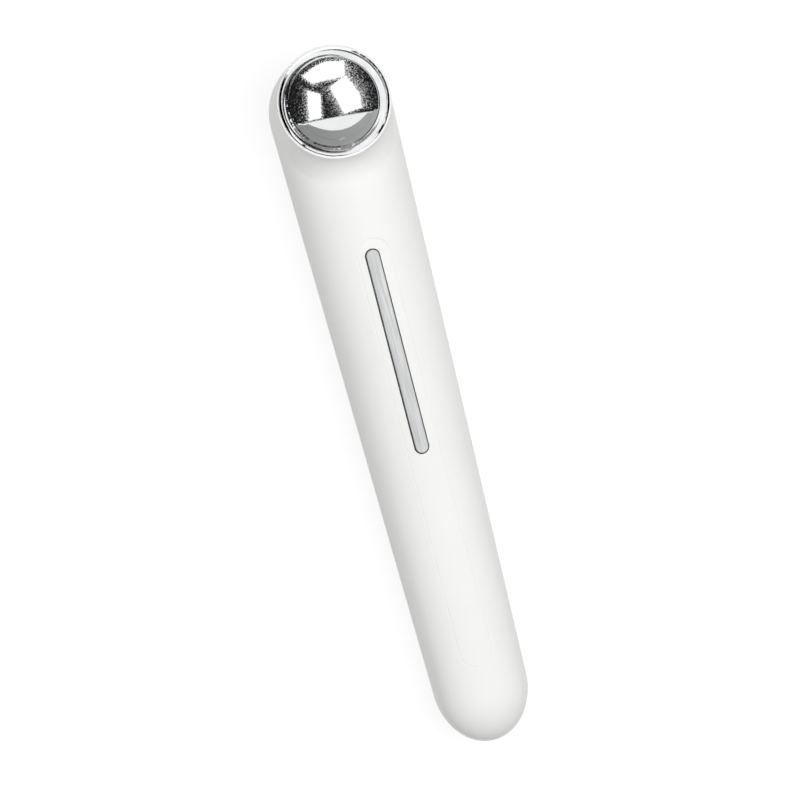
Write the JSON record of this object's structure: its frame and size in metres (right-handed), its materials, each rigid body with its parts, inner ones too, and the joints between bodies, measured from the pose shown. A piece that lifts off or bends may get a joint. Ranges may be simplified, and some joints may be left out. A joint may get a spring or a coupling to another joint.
{
  "type": "heated eye massager wand",
  "caption": "Slim round wand with a rolling metal massage ball in a chrome ring, a long light strip key, a clip-on rear cover and a charging port in its tail.",
  "frame": {"origin": "on the rear flat that the wand lies on, under its middle, 60 mm from the centre of the round head", "axes": "+Y along the wand towards the massage head, +Z out of its front, +X to its right seen from the tail with the front up"},
  "size_m": [0.0248, 0.1508, 0.0319],
  "materials": {
    "shell_plastic": "smooth white moulded plastic, semi-gloss",
    "key_plastic": "smooth white moulded plastic, semi-gloss",
    "window_plastic": "milky translucent light guide, drawn lengthwise",
    "dark_edge": "dark grey",
    "chrome": "mirror polished",
    "steel": "ground",
    "baffle_plastic": "white, diffuse",
    "cup_metal": "spun",
    "inner_plastic": "dark moulded",
    "heater_film": "amber film",
    "black_resin": "black",
    "rubber": "soft black",
    "weight_metal": "sintered",
    "board": "green lacquered board",
    "light_chip": "light chip",
    "battery_wrap": "shrink wrap",
    "nickel": "nickel plated",
    "foam": "dense foam"
  },
  "bodies": {
    "casing": {"front_housing": "shell_plastic", "rear_cover": "shell_plastic", "hinge_pin": "steel", "light_baffle": "baffle_plastic", "bezel_ring": "chrome", "heated_cup": "cup_metal", "cup_carrier": "inner_plastic", "heater_disc": "heater_film", "thermistor": "black_resin", "motor_can": "steel", "motor_sleeve": "rubber", "inner_frame": "inner_plastic", "frame_screws": "steel", "main_circuit_board": "board", "status_lights": "light_chip", "control_chips": "black_resin", "key_switch": "inner_plastic", "battery_cell": "battery_wrap", "battery_tabs": "nickel", "battery_pad": "foam", "charging_board": "board", "charging_socket": "nickel", "socket_tongue": "black_resin"},
    "ball": {"massage_ball": "chrome"},
    "key": {"key_plate": "key_plastic", "light_window": "window_plastic", "window_gasket": "dark_edge"},
    "plunger": {"switch_plunger": "black_resin"},
    "rotor": {"motor_shaft": "steel", "eccentric_weight": "weight_metal"}
  },
  "joints": [
    {"name": "ball_roll", "type": "hinge", "parent": "casing", "child": "ball", "pos_m": [0, 0.06393, 0.02293], "axis": [1, 0, 0], "continuous": true},
    {"name": "key_press", "type": "hinge", "parent": "casing", "child": "key", "pos_m": [0, 0.03141, 0.02005], "axis": [1, 0, 0], "range_deg": [0, 0.2058], "stiffness_Nm_per_rad": 20},
    {"name": "plunger_travel", "type": "slide", "parent": "casing", "child": "plunger", "axis": [0, 0.0215, -0.9998], "range_m": [0, 0.00026]},
    {"name": "motor_spin", "type": "hinge", "parent": "casing", "child": "rotor", "pos_m": [0, 0.0431, 0.00704], "axis": [0, 0.9998, 0.0215], "continuous": true}
  ],
  "couplings": [
    {"joint": "plunger_travel", "follows": "key_press", "m_per_rad": 0.0696}
  ]
}
